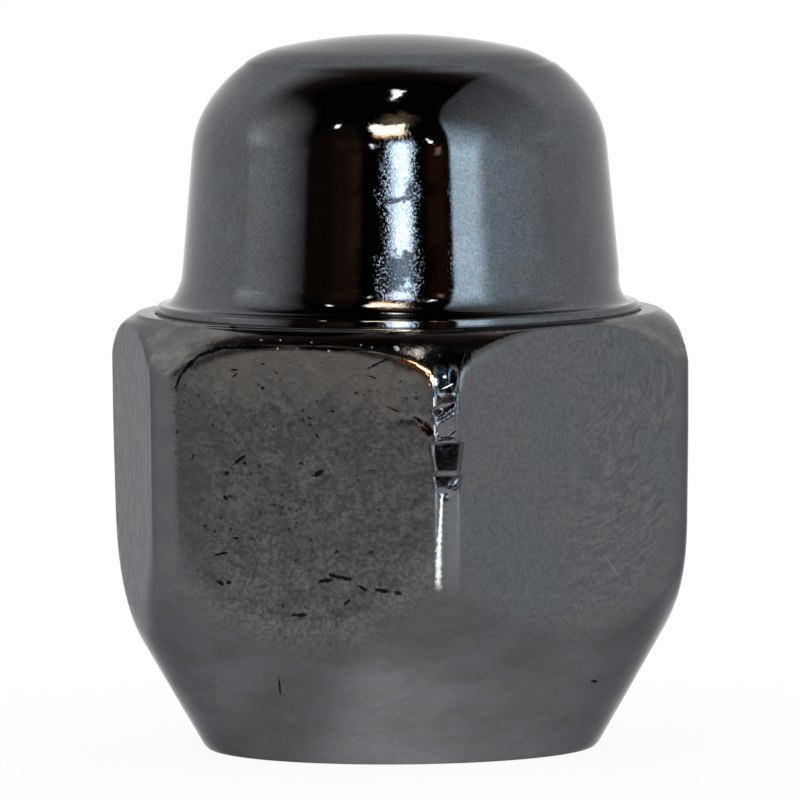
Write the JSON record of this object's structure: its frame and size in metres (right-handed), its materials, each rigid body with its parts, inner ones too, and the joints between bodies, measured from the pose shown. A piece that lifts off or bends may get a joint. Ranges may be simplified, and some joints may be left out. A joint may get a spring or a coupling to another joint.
{
  "type": "lug nut",
  "caption": "Closed-end wheel nut: hexagon body with a tapered seat and a threaded hole, closed at the top by a domed cap.",
  "frame": {"origin": "centre of the small end face of the tapered seat, which the nut stands on", "axes": "+Z along the thread axis from the seat to the crown of the cap; two of the wrench flats are square to Y, and two hexagon corners lie on the X axis"},
  "size_m": [0.0214, 0.019, 0.0249],
  "materials": {
    "plated_body": "dark bright plating over forged steel, satin and nicked from use",
    "plated_cap": "dark bright plating over pressed steel, glossy"
  },
  "bodies": {
    "root": {"hex_body": "plated_body", "dome_cap": "plated_cap"}
  },
  "joints": []
}
